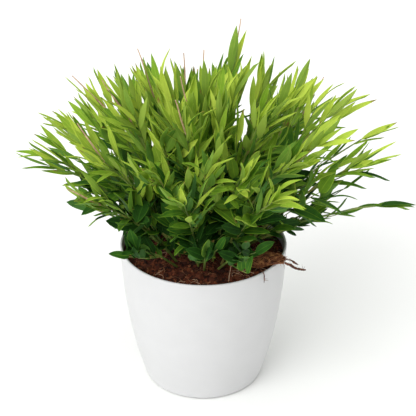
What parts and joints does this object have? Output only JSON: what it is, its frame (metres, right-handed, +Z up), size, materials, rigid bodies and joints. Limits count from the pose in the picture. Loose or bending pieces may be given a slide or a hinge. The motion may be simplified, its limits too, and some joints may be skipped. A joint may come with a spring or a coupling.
{
  "type": "potted bamboo grass",
  "caption": "Dense clump of bamboo-like house grass: arching leafy shoots in dark fibrous soil, in a plain white rounded cover pot, with matted roots lying over the rim.",
  "frame": {"origin": "centre of the pot's flat base, on the surface that the pot stands on", "axes": "+Z up through the middle of the pot; the plant's longer side runs along X; the matted roots lie over the rim between +X and -Y; -Y is the side with the most open soil"},
  "size_m": [0.319, 0.2954, 0.3056],
  "materials": {
    "pot": "satin",
    "soil": "matte",
    "root_fibre": "matte",
    "root_strand": "matte",
    "foliage": "satin"
  },
  "bodies": {
    "root": {"pot": "pot", "soil": "soil", "root_clump": "root_fibre", "root_strand_1": "root_strand", "root_strand_2": "root_strand", "root_strand_3": "root_strand", "shoot_01": "foliage", "shoot_02": "foliage", "shoot_03": "foliage", "shoot_04": "foliage", "shoot_05": "foliage", "shoot_06": "foliage", "shoot_07": "foliage", "shoot_08": "foliage", "shoot_09": "foliage", "shoot_10": "foliage", "shoot_11": "foliage", "shoot_12": "foliage", "shoot_13": "foliage", "shoot_14": "foliage", "shoot_15": "foliage", "shoot_16": "foliage", "shoot_17": "foliage", "shoot_18": "foliage", "shoot_19": "foliage", "shoot_20": "foliage", "shoot_21": "foliage", "shoot_22": "foliage", "shoot_23": "foliage", "shoot_24": "foliage", "shoot_25": "foliage", "shoot_26": "foliage", "shoot_27": "foliage", "shoot_28": "foliage", "shoot_29": "foliage", "shoot_30": "foliage", "shoot_31": "foliage", "shoot_32": "foliage", "shoot_33": "foliage", "shoot_34": "foliage", "shoot_35": "foliage", "shoot_36": "foliage", "shoot_37": "foliage", "shoot_38": "foliage", "shoot_39": "foliage", "shoot_40": "foliage", "shoot_41": "foliage", "shoot_42": "foliage", "shoot_43": "foliage", "shoot_44": "foliage", "shoot_45": "foliage", "shoot_46": "foliage", "shoot_47": "foliage", "shoot_48": "foliage", "shoot_49": "foliage", "shoot_50": "foliage", "shoot_51": "foliage", "shoot_52": "foliage"}
  },
  "joints": []
}
